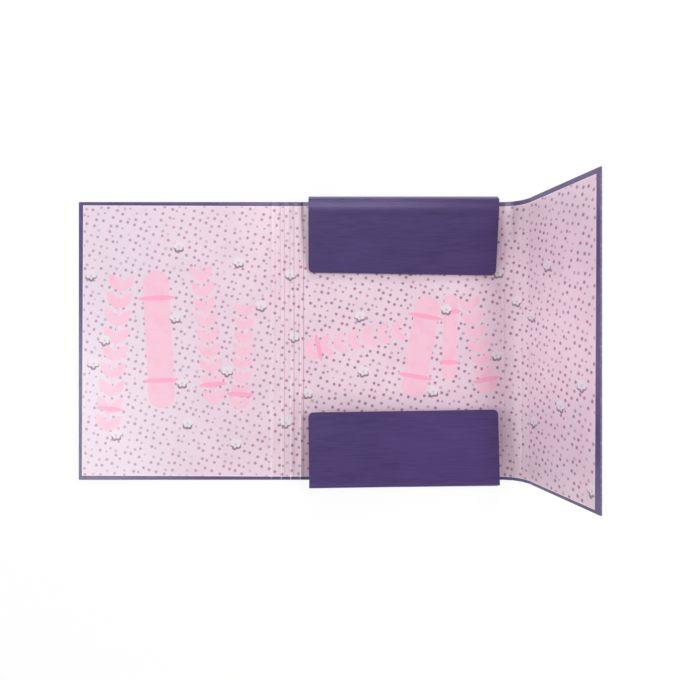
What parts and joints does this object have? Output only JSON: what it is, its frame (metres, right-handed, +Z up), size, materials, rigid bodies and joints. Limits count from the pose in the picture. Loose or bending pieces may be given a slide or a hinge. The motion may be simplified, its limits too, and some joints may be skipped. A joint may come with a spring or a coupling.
{
  "type": "flap folder",
  "caption": "Paper-covered board document folder lying open: front cover, creased spine and side gussets, a standing side flap and card flaps folded in from both ends.",
  "frame": {"origin": "middle of the back panel's outer face, on the table", "axes": "+X towards the side flap, +Y towards the top flap, +Z up out of the lining"},
  "size_m": [0.5745, 0.3494, 0.1304],
  "materials": {
    "greyboard": "matte",
    "purple_wrap": "satin",
    "pink_lining": "satin",
    "flap_card": "gloss"
  },
  "bodies": {
    "back_panel": {"back_board": "greyboard", "back_wrap": "purple_wrap", "back_lining": "pink_lining", "top_tab": "flap_card", "bottom_tab": "flap_card"},
    "spine_1": {"spine_board_1": "greyboard", "spine_wrap_1": "purple_wrap", "spine_lining_1": "pink_lining"},
    "spine_2": {"spine_board_2": "greyboard", "spine_wrap_2": "purple_wrap", "spine_lining_2": "pink_lining"},
    "spine_3": {"spine_board_3": "greyboard", "spine_wrap_3": "purple_wrap", "spine_lining_3": "pink_lining"},
    "front_cover": {"cover_board": "greyboard", "cover_wrap": "purple_wrap", "cover_lining": "pink_lining"},
    "side_1": {"side_board_1": "greyboard", "side_wrap_1": "purple_wrap", "side_lining_1": "pink_lining"},
    "side_2": {"side_board_2": "greyboard", "side_wrap_2": "purple_wrap", "side_lining_2": "pink_lining"},
    "side_3": {"side_board_3": "greyboard", "side_wrap_3": "purple_wrap", "side_lining_3": "pink_lining"},
    "side_flap": {"side_flap_board": "greyboard", "side_flap_wrap": "purple_wrap", "side_flap_lining": "pink_lining"},
    "top_gusset_a": {"top_gusset_1": "flap_card"},
    "top_gusset_b": {"top_gusset_2": "flap_card"},
    "top_flap": {"top_flap": "flap_card"},
    "bottom_gusset_a": {"bottom_gusset_1": "flap_card"},
    "bottom_gusset_b": {"bottom_gusset_2": "flap_card"},
    "bottom_flap": {"bottom_flap": "flap_card"}
  },
  "joints": [
    {"name": "spine_crease_1", "type": "hinge", "parent": "back_panel", "child": "spine_1", "pos_m": [-0.124, 0, 0.00022], "axis": [0, 1, 0], "range_deg": [0, 55]},
    {"name": "spine_crease_2", "type": "hinge", "parent": "spine_1", "child": "spine_2", "pos_m": [-0.1356, 0, 0.00022], "axis": [0, 1, 0], "range_deg": [0, 35]},
    {"name": "spine_crease_3", "type": "hinge", "parent": "spine_2", "child": "spine_3", "pos_m": [-0.1472, 0, 0.00022], "axis": [0, 1, 0], "range_deg": [0, 35.02]},
    {"name": "spine_crease_4", "type": "hinge", "parent": "spine_3", "child": "front_cover", "pos_m": [-0.1588, 0, 0.00022], "axis": [0, 1, 0], "range_deg": [0, 55.02]},
    {"name": "side_crease_1", "type": "hinge", "parent": "back_panel", "child": "side_1", "pos_m": [0.124, 0, 0.00022], "axis": [0, -1, 0], "range_deg": [-12.02, 16.52]},
    {"name": "side_crease_2", "type": "hinge", "parent": "side_1", "child": "side_2", "pos_m": [0.13476, 0, 0.00251], "axis": [0, -1, 0], "range_deg": [-23, 31.62]},
    {"name": "side_crease_3", "type": "hinge", "parent": "side_2", "child": "side_3", "pos_m": [0.14377, 0, 0.00882], "axis": [0, -1, 0], "range_deg": [-21.02, 28.89]},
    {"name": "side_crease_4", "type": "hinge", "parent": "side_3", "child": "side_flap", "pos_m": [0.14992, 0, 0.01794], "axis": [0, -1, 0], "range_deg": [-19.82, 27.24]},
    {"name": "top_crease_1", "type": "hinge", "parent": "back_panel", "child": "top_gusset_a", "pos_m": [0, 0.17, 0.0024], "axis": [1, 0, 0], "range_deg": [-62.7, 0]},
    {"name": "top_crease_2", "type": "hinge", "parent": "top_gusset_a", "child": "top_gusset_b", "pos_m": [0, 0.17367, 0.00951], "axis": [1, 0, 0], "range_deg": [-62.72, 0]},
    {"name": "top_crease_3", "type": "hinge", "parent": "top_gusset_b", "child": "top_flap", "pos_m": [0, 0.16903, 0.01603], "axis": [1, 0, 0], "range_deg": [-62.72, 0]},
    {"name": "bottom_crease_1", "type": "hinge", "parent": "back_panel", "child": "bottom_gusset_a", "pos_m": [0, -0.17, 0.0024], "axis": [-1, 0, 0], "range_deg": [-48.02, 0]},
    {"name": "bottom_crease_2", "type": "hinge", "parent": "bottom_gusset_a", "child": "bottom_gusset_b", "pos_m": [0, -0.17535, 0.00835], "axis": [-1, 0, 0], "range_deg": [-66.02, 0]},
    {"name": "bottom_crease_3", "type": "hinge", "parent": "bottom_gusset_b", "child": "bottom_flap", "pos_m": [0, -0.1721, 0.01565], "axis": [-1, 0, 0], "range_deg": [-68, 0]}
  ],
  "couplings": [
    {"joint": "spine_crease_3", "follows": "spine_crease_2", "ratio": 1},
    {"joint": "spine_crease_4", "follows": "spine_crease_1", "ratio": 1},
    {"joint": "side_crease_1", "follows": "side_crease_2", "ratio": 0.52174},
    {"joint": "side_crease_3", "follows": "side_crease_2", "ratio": 0.91304},
    {"joint": "side_crease_4", "follows": "side_crease_2", "ratio": 0.86087},
    {"joint": "top_crease_2", "follows": "top_crease_1", "ratio": 1},
    {"joint": "top_crease_3", "follows": "top_crease_1", "ratio": 1},
    {"joint": "bottom_crease_1", "follows": "bottom_crease_3", "ratio": 0.70588},
    {"joint": "bottom_crease_2", "follows": "bottom_crease_3", "ratio": 0.97059}
  ]
}
